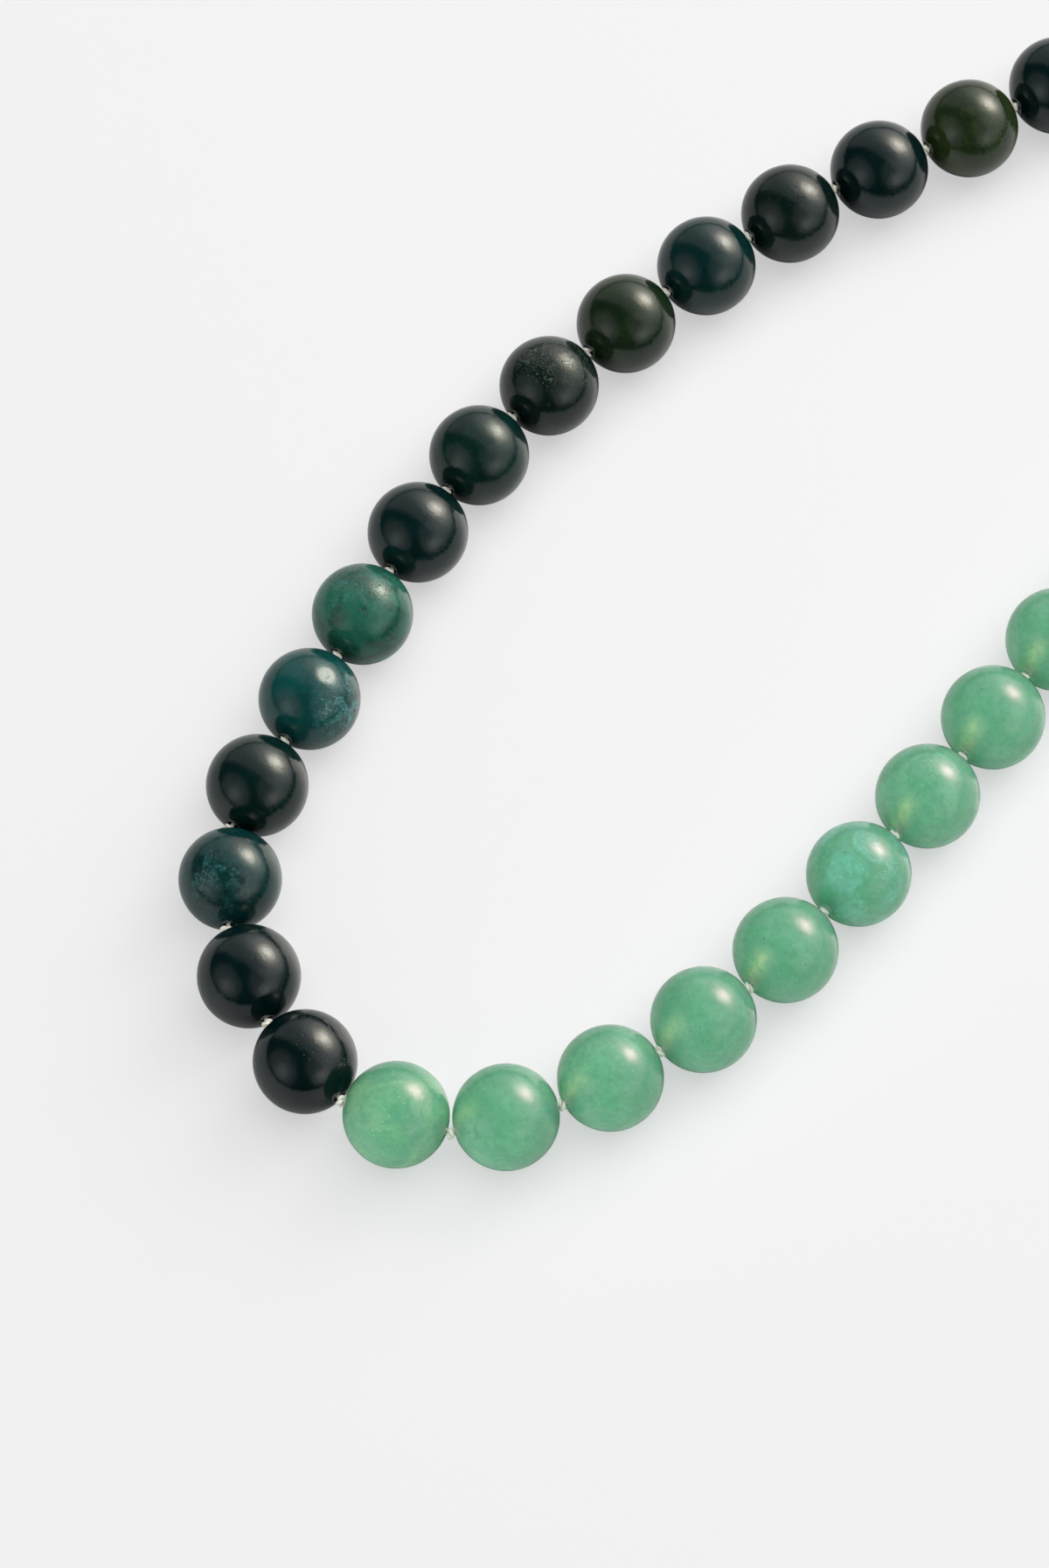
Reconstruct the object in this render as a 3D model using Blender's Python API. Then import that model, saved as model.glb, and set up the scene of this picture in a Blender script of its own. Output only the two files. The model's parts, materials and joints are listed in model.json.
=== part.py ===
"""Knotted bead necklace in two stones, lying on a flat surface as one closed loop.

Dark moss agate beads make one half of the string and pale aventurine beads the other.
The beads are threaded on silk with a knot between each two, and a plain box clasp joins
the ends. Blender units are metres; the sizes below are millimetres.
+Y runs along the loop from the front centre, where the colours meet, towards the clasp.
+Z is up, and the origin is on the surface, below the middle of the loop's box.
"""
import math

import bmesh
import bpy
import numpy as np
from mathutils import Vector

MM = 0.001

# Beads
DARK_COUNT = 21
LIGHT_COUNT = 21
DARK_DIAMETER = 10.0
LIGHT_DIAMETER = 10.2
BORE_DIAMETER = 1.1
MOUTH_DIAMETER = 1.9
MOUTH_DEPTH = 0.35
BEAD_SIDES = 12
BEAD_BANDS = 6

# Silk thread and its knots
THREAD_DIAMETER = 0.55
THREAD_SIDES = 6
KNOT_DIAMETER = 1.5
KNOT_GAP = 0.57
KNOT_FILL = 0.5
KNOT_SHOULDER = 0.4
KNOT_LEAN = 0.3
KNOT_RUNOUT = 0.35
LEAST_BEND = 1e-6

# Box clasp and the bare thread that leads into it
CLASP_LENGTH = 14.0
CLASP_WIDTH = 7.0
CLASP_HEIGHT = 5.0
CLASP_EDGE = 0.9
CLASP_EDGE_SHARE = 0.25
CLASP_EDGE_SEGMENTS = 2
SOCKET_DIAMETER = 1.6
SOCKET_DEPTH = 2.6
SOCKET_END_GAP = 0.4
SOCKET_CUTTER_PAST = 1.0
SOCKET_SIDES = 12
LEAD_LENGTH = 3.0

# Hand-chosen points of the curve that the knots lie on, in millimetres. They start at
# the clasp's pale end and go round by the clasp, the dark half and the pale half.
# The whole curve is scaled until the string closes on it exactly.
STRING_ROUTE = [
    (-2.0, 102.0), (-16.0, 93.0), (-23.0, 72.5), (-26.0, 41.0), (-30.5, 7.5),
    (-33.0, -10.0), (-30.0, -46.5), (-15.5, -82.5), (-7.5, -96.0), (7.5, -101.5),
    (17.0, -101.5), (29.5, -91.0), (33.0, -67.0), (28.0, -39.0), (19.5, -6.0),
    (19.5, 18.0), (30.0, 55.5), (30.0, 77.0), (22.0, 92.0), (11.0, 100.0),
]
STEPS_PER_SPAN = 40
CLOSING_STEPS = 40
CLOSING_RANGE = (0.9, 1.2)

# Colours are linear values, with roughness and metallic after them
FINISHES = {
    "moss_agate": ((0.006, 0.028, 0.024), 0.12, 0.0),
    "aventurine": ((0.13, 0.40, 0.23), 0.12, 0.0),
    "silk": ((0.78, 0.77, 0.68), 0.7, 0.0),
    "silver": ((0.80, 0.79, 0.76), 0.25, 1.0),
}


def make_material(name):
    """A Principled material from the table of finishes."""
    colour, roughness, metallic = FINISHES[name]
    material = bpy.data.materials.new(name)
    material.use_nodes = True
    shader = material.node_tree.nodes["Principled BSDF"]
    shader.inputs["Base Color"].default_value = (*colour, 1.0)
    shader.inputs["Roughness"].default_value = roughness
    shader.inputs["Metallic"].default_value = metallic
    return material


def finish_mesh(bm, name, material, sharp_angle=40.0):
    """Turn a bmesh into a smooth-shaded mesh with one material."""
    bmesh.ops.recalc_face_normals(bm, faces=bm.faces)
    mesh = bpy.data.meshes.new(name)
    bm.to_mesh(mesh)
    bm.free()
    mesh.materials.append(material)
    mesh.shade_smooth()
    mesh.set_sharp_from_angle(angle=math.radians(sharp_angle))
    return mesh


def add_object(name, mesh, parent, location=(0.0, 0.0, 0.0), heading=0.0):
    """Link an object, turned about Z by its heading, under the necklace's empty."""
    obj = bpy.data.objects.new(name, mesh)
    bpy.context.collection.objects.link(obj)
    obj.parent = parent
    obj.location = Vector(location) * MM
    obj.rotation_euler = (0.0, 0.0, heading)
    return obj


def ring_points(centre, normal, radius, sides):
    """Corners of a regular ring across a normal, the first one straight above the centre."""
    normal = Vector(normal).normalized()
    side = normal.cross(Vector((0.0, 0.0, 1.0))).normalized()
    up = side.cross(normal)
    turns = [2.0 * math.pi * k / sides for k in range(sides)]
    return [Vector(centre) + radius * (math.cos(t) * up + math.sin(t) * side) for t in turns]


def loft(bm, rings, closed):
    """Join rings of equal corner counts by quads, ending in caps unless the row is closed."""
    loops = [[bm.verts.new(point * MM) for point in ring] for ring in rings]
    sides = len(loops[0])
    last = len(loops) if closed else len(loops) - 1
    for i in range(last):
        here, there = loops[i], loops[(i + 1) % len(loops)]
        for k in range(sides):
            after = (k + 1) % sides
            bm.faces.new((here[k], here[after], there[after], there[k]))
    if not closed:
        bm.faces.new(loops[0])
        bm.faces.new(loops[-1])


def route_curve():
    """Closed smooth curve through the route's points (uniform Catmull-Rom spans)."""
    points = np.array(STRING_ROUTE)
    t = np.linspace(0.0, 1.0, STEPS_PER_SPAN, endpoint=False)[:, None]
    spans = []
    for i in range(len(points)):
        a, b, c, d = (points[(i + k) % len(points)] for k in (-1, 0, 1, 2))
        bend = 2.0 * a - 5.0 * b + 4.0 * c - d
        twist = 3.0 * b - a - 3.0 * c + d
        spans.append(0.5 * (2.0 * b + (c - a) * t + bend * t**2 + twist * t**3))
    return np.vstack(spans)


def walk(curve, links):
    """Step along a closed curve by straight links.

    Returns the points between the links, and how far past the start the last one comes,
    counted in curve steps.
    """
    count = len(curve)
    lap = np.vstack([curve, curve, curve])
    point = curve[0]
    index, place = 0, 0.0
    points = [point]
    for link in links:
        reach = np.hypot(*(lap[index + 1:index + count] - point).T)
        beyond = index + 1 + int(np.argmax(reach >= link))
        near = math.hypot(*(lap[beyond - 1] - point))
        far = math.hypot(*(lap[beyond] - point))
        share = (link - near) / (far - near)
        point = lap[beyond - 1] + share * (lap[beyond] - lap[beyond - 1])
        index, place = beyond - 1, beyond - 1 + share
        points.append(point)
        if place > 2 * count:
            break
    return np.array(points), place - count


def closed_string(links):
    """Corners of the closed string of links, on the route scaled to fit their length."""
    curve = route_curve()
    length = np.hypot(*np.diff(np.vstack([curve, curve[:1]]), axis=0).T).sum()
    low, high = (share * sum(links) / length for share in CLOSING_RANGE)
    for _ in range(CLOSING_STEPS):
        middle = 0.5 * (low + high)
        _, past = walk(curve * middle, links)
        if past > 0.0:
            low = middle
        else:
            high = middle
    corners, _ = walk(curve * high, links)
    return corners[:-1]


def bead_mesh(name, diameter, material):
    """A drilled ball, bored along X, with a small countersink at each mouth.

    Its profile runs over the ball from one mouth to the other and back down the bore. A
    corner of its widest ring points straight down, so the bead's height is exact.
    """
    radius = 0.5 * diameter
    mouth = 0.5 * MOUTH_DIAMETER
    start = math.asin(mouth / radius)
    profile = []
    for band in range(BEAD_BANDS + 1):
        turn = start + (math.pi - 2.0 * start) * band / BEAD_BANDS
        profile.append((radius * math.cos(turn), radius * math.sin(turn)))
    floor = radius * math.cos(start) - MOUTH_DEPTH
    profile.append((-floor, 0.5 * BORE_DIAMETER))
    profile.append((floor, 0.5 * BORE_DIAMETER))
    rings = [ring_points((x, 0.0, 0.0), (1.0, 0.0, 0.0), r, BEAD_SIDES) for x, r in profile]
    bm = bmesh.new()
    loft(bm, rings, closed=True)
    return finish_mesh(bm, name, material)


def knot_rings(corner, before, after, reach):
    """Rings of one knot, where the string turns from one link's direction to the next.

    The knot is a lens across the gap between two beads. It leans towards the outside of
    the bend, where the gap opens, and runs out to the bare thread on each link's axis.
    reach is a bead's radius and half a gap.
    """
    tangent = (before + after).normalized()
    outward = before - after
    half_turn = 0.5 * before.angle(after)
    if outward.length > LEAST_BEND:
        outward.normalize()
    lean = outward * KNOT_LEAN * reach * math.sin(half_turn)
    thread = 0.5 * THREAD_DIAMETER
    mouth = 0.5 * MOUTH_DIAMETER
    shoulder = thread + KNOT_SHOULDER * (mouth - thread)
    radius = reach - 0.5 * KNOT_GAP
    mouth_plane = reach - math.sqrt(radius**2 - mouth**2)
    rim = 0.5 * KNOT_FILL * KNOT_GAP
    runout = mouth_plane + MOUTH_DEPTH + KNOT_RUNOUT
    rows = [
        (corner - before * runout, before, thread),
        (corner + 0.5 * lean - tangent * mouth_plane, tangent, shoulder),
        (corner + lean - tangent * rim, tangent, 0.5 * KNOT_DIAMETER),
        (corner + lean + tangent * rim, tangent, 0.5 * KNOT_DIAMETER),
        (corner + 0.5 * lean + tangent * mouth_plane, tangent, shoulder),
        (corner + after * runout, after, thread),
    ]
    return [ring_points(centre, normal, size, THREAD_SIDES) for centre, normal, size in rows]


def thread_mesh(name, knots, clasp_ends, clasp_direction, reaches, material):
    """The silk from socket to socket, through every bead and knot, as one solid."""
    dark_end, light_end = clasp_ends
    inside = SOCKET_DEPTH - SOCKET_END_GAP
    thread = 0.5 * THREAD_DIAMETER
    directions = [(b - a).normalized() for a, b in zip(knots, knots[1:])]
    directions.insert(0, (knots[0] - dark_end).normalized())
    directions.append((light_end - knots[-1]).normalized())
    rows = [dark_end - clasp_direction * inside, dark_end]
    rings = [ring_points(point, clasp_direction, thread, THREAD_SIDES) for point in rows]
    for i, knot in enumerate(knots):
        rings += knot_rings(knot, directions[i], directions[i + 1], reaches[i])
    rows = [light_end, light_end + clasp_direction * inside]
    rings += [ring_points(point, clasp_direction, thread, THREAD_SIDES) for point in rows]
    bm = bmesh.new()
    loft(bm, rings, closed=False)
    return finish_mesh(bm, name, material)


def clasp_mesh(name, material):
    """A plain box along X with rounded edges, before its sockets are cut."""
    bm = bmesh.new()
    bmesh.ops.create_cube(bm, size=1.0)
    size = Vector((CLASP_LENGTH, CLASP_WIDTH, CLASP_HEIGHT)) * MM
    bmesh.ops.scale(bm, vec=size, verts=bm.verts)
    edge = min(CLASP_EDGE, CLASP_EDGE_SHARE * min(CLASP_HEIGHT, CLASP_WIDTH)) * MM
    bmesh.ops.bevel(bm, geom=bm.edges[:], offset=edge, segments=CLASP_EDGE_SEGMENTS,
                    profile=0.5, affect="EDGES")
    return finish_mesh(bm, name, material, sharp_angle=30.0)


def socket_cutter(name, parent, location, heading):
    """A hidden round cutter that sinks one socket into the clasp's end."""
    bm = bmesh.new()
    ends = [(-SOCKET_DEPTH, 0.0, 0.0), (SOCKET_CUTTER_PAST, 0.0, 0.0)]
    rings = [ring_points(p, (1.0, 0.0, 0.0), 0.5 * SOCKET_DIAMETER, SOCKET_SIDES) for p in ends]
    loft(bm, rings, closed=False)
    bmesh.ops.recalc_face_normals(bm, faces=bm.faces)
    mesh = bpy.data.meshes.new(name)
    bm.to_mesh(mesh)
    bm.free()
    cutter = add_object(name, mesh, parent, location, heading)
    cutter.hide_render = True
    cutter.display_type = "WIRE"
    return cutter


def add_clasp(parent, centre, direction, material):
    """The clasp with a Boolean cut for each socket."""
    heading = math.atan2(direction.y, direction.x)
    clasp = add_object("box_clasp", clasp_mesh("box_clasp", material), parent, centre, heading)
    for name, way in (("dark_socket", 1.0), ("light_socket", -1.0)):
        place = centre + direction * (0.5 * CLASP_LENGTH * way)
        turn = heading if way > 0.0 else heading + math.pi
        cut = clasp.modifiers.new(name, "BOOLEAN")
        cut.operation = "DIFFERENCE"
        cut.solver = "EXACT"
        cut.object = socket_cutter(name, parent, place, turn)
    return clasp


def add_beads(parent, name, count, diameter, corners, material):
    """One bead on each link, resting on the surface with its bore along the link."""
    mesh = bead_mesh(name, diameter, material)
    for i in range(count):
        start, end = corners[i], corners[i + 1]
        middle = 0.5 * (start + end)
        heading = math.atan2(end[1] - start[1], end[0] - start[0])
        place = (middle[0], middle[1], 0.5 * diameter)
        add_object(f"{name}_{i + 1:02d}", mesh, parent, place, heading)


def main():
    for obj in list(bpy.data.objects):
        bpy.data.objects.remove(obj, do_unlink=True)
    materials = {name: make_material(name) for name in FINISHES}

    dark_link = DARK_DIAMETER + KNOT_GAP
    light_link = LIGHT_DIAMETER + KNOT_GAP
    links = [CLASP_LENGTH, LEAD_LENGTH]
    links += [dark_link] * DARK_COUNT + [light_link] * LIGHT_COUNT + [LEAD_LENGTH]
    corners = closed_string(links)

    # The box of the beads and the clasp's ends sets the middle of the loop.
    beads = 0.5 * (corners[2:-1] + corners[3:])
    radius = 0.5 * max(DARK_DIAMETER, LIGHT_DIAMETER)
    low = np.minimum(beads.min(axis=0) - radius, corners.min(axis=0))
    high = np.maximum(beads.max(axis=0) + radius, corners.max(axis=0))
    corners = corners - 0.5 * (low + high)

    necklace = bpy.data.objects.new("necklace", None)
    bpy.context.collection.objects.link(necklace)

    clasp_light = Vector((*corners[0], 0.5 * CLASP_HEIGHT))
    clasp_dark = Vector((*corners[1], 0.5 * CLASP_HEIGHT))
    clasp_direction = (clasp_dark - clasp_light).normalized()
    add_clasp(necklace, 0.5 * (clasp_light + clasp_dark), clasp_direction, materials["silver"])

    string = corners[2:]
    meeting = DARK_COUNT
    dark = materials["moss_agate"]
    light = materials["aventurine"]
    add_beads(necklace, "moss_agate_bead", DARK_COUNT, DARK_DIAMETER, string[:meeting + 1], dark)
    add_beads(necklace, "aventurine_bead", LIGHT_COUNT, LIGHT_DIAMETER, string[meeting:], light)

    radii = [0.5 * DARK_DIAMETER] * DARK_COUNT + [0.5 * LIGHT_DIAMETER] * LIGHT_COUNT
    around = [radii[0]] + radii + [radii[-1]]
    heights = [0.5 * (a + b) for a, b in zip(around, around[1:])]
    reaches = [min(a, b) + 0.5 * KNOT_GAP for a, b in zip(around, around[1:])]
    knots = [Vector((*point, z)) for point, z in zip(string, heights)]
    ends = (clasp_dark, clasp_light)
    silk = materials["silk"]
    mesh = thread_mesh("silk_thread", knots, ends, clasp_direction, reaches, silk)
    add_object("silk_thread", mesh, necklace)


if __name__ == "__main__":
    main()
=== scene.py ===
"""Knotted bead necklace: dark moss agate beads and pale aventurine beads on twisted silk.

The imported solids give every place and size. Each stone bead is worked out again as a smooth
drilled ball, the string as one twisted silk cord tied in a knot between each two beads, and
the clasp as a softly rounded silver box. Lengths are metres, +Z is up.
"""
import json
import math
from typing import NamedTuple

import bpy
import numpy as np
from bpy.props import FloatProperty, FloatVectorProperty, IntProperty, PointerProperty
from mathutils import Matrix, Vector


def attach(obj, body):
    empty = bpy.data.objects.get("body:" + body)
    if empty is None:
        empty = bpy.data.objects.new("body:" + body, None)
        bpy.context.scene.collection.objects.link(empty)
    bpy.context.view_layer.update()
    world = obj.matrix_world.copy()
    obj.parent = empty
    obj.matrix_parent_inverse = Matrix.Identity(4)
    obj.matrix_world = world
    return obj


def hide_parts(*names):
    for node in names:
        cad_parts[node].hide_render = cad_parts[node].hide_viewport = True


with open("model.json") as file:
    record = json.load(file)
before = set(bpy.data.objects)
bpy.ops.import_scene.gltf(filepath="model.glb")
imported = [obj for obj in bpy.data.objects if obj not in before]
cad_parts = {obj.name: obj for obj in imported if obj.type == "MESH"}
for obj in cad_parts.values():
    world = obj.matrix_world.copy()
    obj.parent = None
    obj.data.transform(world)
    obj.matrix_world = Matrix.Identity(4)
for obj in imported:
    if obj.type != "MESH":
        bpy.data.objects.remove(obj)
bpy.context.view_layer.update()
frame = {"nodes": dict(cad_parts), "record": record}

bl_info = {
    "name": "Knotted Bead Necklace",
    "version": (1, 0, 0),
    "blender": (4, 5, 0),
    "location": "View3D > Sidebar > Necklace",
    "description": "Builds a two-stone bead necklace, knotted on silk, on a pale studio floor",
    "category": "Add Mesh",
}

MM = 0.001
UP = (0.0, 0.0, 1.0)
BODY = "root"

# Dark beads in string order from the clasp. accent is the second tone and share how much of
# it the body holds, above 1 for a lighter stone; mottle is how far the two tones part in
# clouds, moss the fine light green threads, haze the pale crystal in the bead's patch, and
# pits the small open pores. The patch is a direction on the ball, seen from the camera:
# right, up and towards it.
MIDDLE = (0.0, 0.3, 0.9)
DARK_COLUMNS = ("accent", "share", "mottle", "moss", "haze", "pits", "patch")
DARK_STONES = (
    ("teal", 0.30, 0.5, 0.2, 0.0, 0.0, MIDDLE),
    ("olive", 0.60, 0.6, 0.4, 0.0, 0.0, (0.2, 0.3, 0.9)),
    ("teal", 0.05, 0.3, 0.1, 0.0, 0.0, MIDDLE),
    ("emerald", 0.35, 0.6, 0.3, 0.2, 0.1, (0.4, -0.2, 0.9)),
    ("forest", 0.40, 0.5, 0.4, 0.0, 0.0, MIDDLE),
    ("teal", 0.25, 0.4, 0.1, 0.0, 0.0, MIDDLE),
    ("teal", 0.03, 0.2, 0.0, 0.0, 0.0, MIDDLE),
    ("olive", 1.00, 0.8, 0.3, 0.0, 0.1, (0.6, -0.3, 0.7)),
    ("teal", 0.03, 0.4, 0.1, 0.0, 0.0, MIDDLE),
    ("forest", 0.15, 0.6, 0.3, 0.0, 0.0, MIDDLE),
    ("teal", 0.20, 0.4, 0.1, 0.0, 0.0, MIDDLE),
    ("forest", 1.00, 0.6, 0.3, 0.0, 0.0, (-0.5, -0.5, 0.7)),
    ("forest", 0.18, 0.6, 2.6, 0.0, 0.8, (0.15, 0.66, 0.74)),
    ("emerald", 0.11, 0.6, 0.2, 0.0, 0.1, (0.1, 0.3, 0.9)),
    ("teal", 0.08, 0.4, 0.1, 0.0, 0.0, MIDDLE),
    ("emerald", 1.24, 0.7, 1.6, 0.50, 0.8, (-0.10, 0.55, 0.8)),
    ("teal", 1.04, 0.4, 0.3, 1.3, 1.2, (0.78, -0.15, 0.5)),
    ("emerald", 0.05, 0.3, 0.0, 0.0, 0.1, (0.3, 0.4, 0.8)),
    ("teal", 0.38, 0.7, 0.1, 0.5, 0.6, (-0.35, 0.05, 0.9)),
    ("teal", 0.03, 0.3, 0.0, 0.0, 0.3, (0.3, 0.4, 0.8)),
    ("teal", 0.01, 0.3, 0.0, 0.0, 1.0, (0.4, 0.42, 0.8)),
)

# One dark bead has a worn facet: its place on the ball, in radii to the right and up, and
# the angle in radians from its middle to its rim.
WORN_BEAD = "moss_agate_bead_17"
WORN_SPOT = (0.34, 0.46)
WORN_REACH = 0.19

# Pale beads in string order from the colour change: how cloudy each is, how yellow, how many
# dark specks it has, and how strong the painted glow is above the ends of its bore, which
# stands for the silk seen lit through the stone. Below zero a painted deeper green shade of
# the bore lies there instead.
PALE_COLUMNS = ("cloud", "warm", "specks", "glow")
PALE_STONES = (
    (0.9, 0.7, 0.4, 0.3), (0.5, 0.2, 0.3, 0.5), (0.5, 0.2, 0.5, 0.7), (0.3, 0.1, 0.6, 0.8),
    (0.3, 0.1, 1.0, 1.0), (1.1, -0.9, 0.4, -0.5), (0.5, 0.1, 0.5, 0.8), (0.2, 0.1, 0.8, 0.9),
    (0.3, 0.2, 0.4, 0.8), (0.6, 0.1, 0.4, 0.3), (0.3, 0.2, 0.6, 0.7), (0.8, 0.4, 0.3, 0.4),
    (0.4, 0.0, 0.5, -0.3), (0.2, 0.2, 0.9, 0.6), (0.5, 0.1, 0.3, 0.5), (0.6, 0.3, 0.5, 0.8),
    (0.3, 0.1, 0.4, 0.3), (0.7, 0.0, 0.6, 0.5), (0.2, 0.2, 0.5, 0.6), (0.4, 0.1, 0.7, 0.4),
    (0.5, 0.3, 0.4, 0.5),
)

# The studio that the beads mirror, as soft patches on its dome. right and lift are the
# place, in bead radii from the centre, where a patch is seen in a bead in the photo; wide
# and tall are the angles in degrees at which it has faded, level with and across the floor,
# and edge how crisply it ends.
STUDIO_PATCHES = (
    # name, right, lift, radiance, wide, tall, edge
    ("key_box", 0.365, 0.460, 10.5, 14.5, 13.0, 1),
    ("key_halo", 0.395, 0.500, 2.6, 35.0, 26.0, 1),
    ("key_tail", 0.440, 0.150, 0.20, 18.0, 20.0, 1),
    ("right_glow", 0.340, -0.240, 1.10, 15.0, 14.0, 1),
    ("right_panel", 0.330, -0.150, 0.24, 32.0, 42.0, 5),
    ("left_glow", -0.420, -0.170, 0.65, 16.0, 17.0, 1),
    ("left_panel", -0.440, -0.120, 0.24, 38.0, 34.0, 5),
)
BACK_RADIANCE = 0.34
ROOM_RADIANCE = 0.03

# The softboxes: place to the right of, away from and above the target, and side, in metres
SOFTBOXES = {
    "overhead": ((0.16, 0.14, 1.09), 1.3),
    "key": ((0.61, 0.56, 0.54), 0.6),
    "fill": ((-0.60, -0.50, 0.50), 0.8),
    "low": ((-0.38, -0.77, 0.28), 0.7),
}
LOW_TINT = (0.84, 1.0, 0.94)

# The camera's sensor in millimetres and its clipping distances in metres
SENSOR = 36.0
CLIP_RANGE = (0.01, 20.0)

# Seeds of the random draws for the dark beads, the pale beads and the string
DARK_SEED = 100
PALE_SEED = 300
STRING_SEED = 7

# Slow waves over a ball: how many, the range of their lengths, and how many wave heights
# the skin is drawn in to make room for them
WAVES = 14
WAVE_LENGTHS = (1.6 * MM, 5.0 * MM)
WAVE_SINK = 2.0

# A countersink from its rim to the bore: share of its depth and share of the way in
COUNTERSINK = ((0.065, 0.10), (0.35, 0.35), (0.7, 0.7), (1.0, 1.0))

# How squarely a ball's skin faces its patch's direction where the patch has faded out
PATCH_RIM = 0.45

# The painted glow above a bore, which stands for the silk seen through the stone, in ball
# radii: half width of the streak, where it starts and how soon it is full; and its share at
# the mouth that the bead was pulled away from
GLOW_WIDTH = 0.16
GLOW_START = 0.42
GLOW_RISE = 0.34
FAR_GLOW = 0.2

# The silk: faces round the cord, its plies, and how its radius swells and shrinks with them
SILK_FACES = 18
PLIES = 3.0
PLY_MEAN = 0.93
PLY_SWELL = 0.13

# A knot: swing of its cord as a share of its diameter, turn in radians that is left out at
# each end, points along it, and the least and most it leans to the inside of a bend
KNOT_SWING = 0.27 / 0.92 * 0.5
KNOT_EASE = 0.35
KNOT_POINTS = 26
KNOT_LEAN = (0.12, 0.30)

STONE_IOR = 1.54


def metres(name, value, description):
    """A setting that holds a length."""
    return FloatProperty(name=name, description=description, default=value, unit="LENGTH",
                         precision=6)


def amount(name, value, description):
    """A setting that holds a plain number."""
    return FloatProperty(name=name, description=description, default=value)


def paint(name, value, description):
    """A setting that holds a colour in linear light."""
    return FloatVectorProperty(name=name, description=description, default=value,
                               subtype="COLOR")


class NecklaceStoneSettings(bpy.types.PropertyGroup):
    """Sizes and colours of the stone beads."""

    bore: metres("Bore", 1.1 * MM, "Diameter of the hole through a bead")
    mouth: metres("Mouth", 1.5 * MM, "Diameter of the countersink at each end of the hole")
    mouth_depth: metres("Mouth depth", 0.25 * MM, "Depth of the countersink")
    chip: metres("Chips", 0.22 * MM, "Reach of the small chips round a mouth")
    wobble: metres("Wobble", 0.004 * MM, "Height of the slow waves left by tumbling")
    around: IntProperty(
        name="Around", description="Faces round the hole", default=104, min=16)
    along: IntProperty(
        name="Along", description="Faces over the ball from mouth to mouth", default=60, min=8)
    ink: paint("Ink", (0.0006, 0.0054, 0.0060), "Near-black body of the dark stone")
    teal: paint("Teal", (0.0034, 0.0540, 0.0500), "Teal tone of the dark stone")
    emerald: paint("Emerald", (0.0100, 0.0850, 0.0560), "Emerald tone of the dark stone")
    forest: paint("Forest", (0.0078, 0.0176, 0.0052), "Forest green tone of the dark stone")
    olive: paint("Olive", (0.0145, 0.0245, 0.0060), "Olive tone of the dark stone")
    moss: paint("Moss", (0.0600, 0.1250, 0.0450), "Light green threads in the dark stone")
    crystal: paint("Crystal", (0.10, 0.30, 0.29), "Pale crystal in the dark stone")
    pale: paint("Pale green", (0.108, 0.270, 0.175), "Body of the pale stone")
    milk: paint("Milk", (0.165, 0.350, 0.245), "Clouds in the pale stone")
    warm: paint("Warm", (0.185, 0.335, 0.195), "Yellower clouds in the pale stone")
    deep: paint("Deep", (0.0, 0.12, 0.05), "Fine deeper mottle in the pale stone")
    # Painted shade of the bore, seen through some pale beads
    shade: paint("Bore shade", (0.0, 0.22, 0.10), "Deeper green above the hole of some pale beads")
    sparkle: paint("Sparkle", (0.50, 0.72, 0.55), "Bright grains in the pale stone's clouds")
    speck: paint("Speck", (0.010, 0.070, 0.040), "Dark specks in the pale stone")
    # Painted reflection: the darker tone that the pale stone takes in its neighbours' mirrors
    mirrored: paint(
        "Mirrored", (0.010, 0.060, 0.030), "Tone of the pale stone in its neighbours' mirrors")
    # Painted light: the brighter tone that the pale stone casts round itself, as if passed through
    shed: paint("Shed light", (0.42, 0.75, 0.58), "Light that the pale stone sheds round itself")
    # Painted glow of the silk seen lit through the pale stone above the hole
    glow: paint(
        "Bore glow", (0.300, 0.430, 0.220), "Silk seen through the pale stone above the hole")


class NecklaceStringSettings(bpy.types.PropertyGroup):
    """Sizes and colours of the silk and the clasp."""

    thread: metres("Thread", 0.39 * MM, "Diameter of the twisted silk")
    gap: metres("Gap", 0.57 * MM, "Room between two beads along the string")
    knot: metres("Knot", 1.30 * MM, "Diameter of a pulled-down knot")
    lay: metres("Lay", 1.1 * MM, "Length of one full twist of the silk's plies")
    edge: metres("Edge", 0.9 * MM, "Radius of the clasp's edges")
    socket: metres("Socket", 1.6 * MM, "Diameter of the hole in each end of the clasp")
    socket_depth: metres("Socket depth", 2.6 * MM, "Depth of that hole")
    tucked: metres("Tucked", 2.1 * MM, "Length of silk inside that hole")
    worn: paint("Worn silk", (0.42, 0.38, 0.28), "Tone that worn silk leans to")
    tarnish: paint("Tarnish", (0.45, 0.40, 0.32), "Tone that dull silver leans to")
    silk: paint("Silk", (0.88, 0.855, 0.76), "Colour of the silk")
    silver: paint("Silver", (0.88, 0.865, 0.84), "Colour of the clasp's metal")


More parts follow.
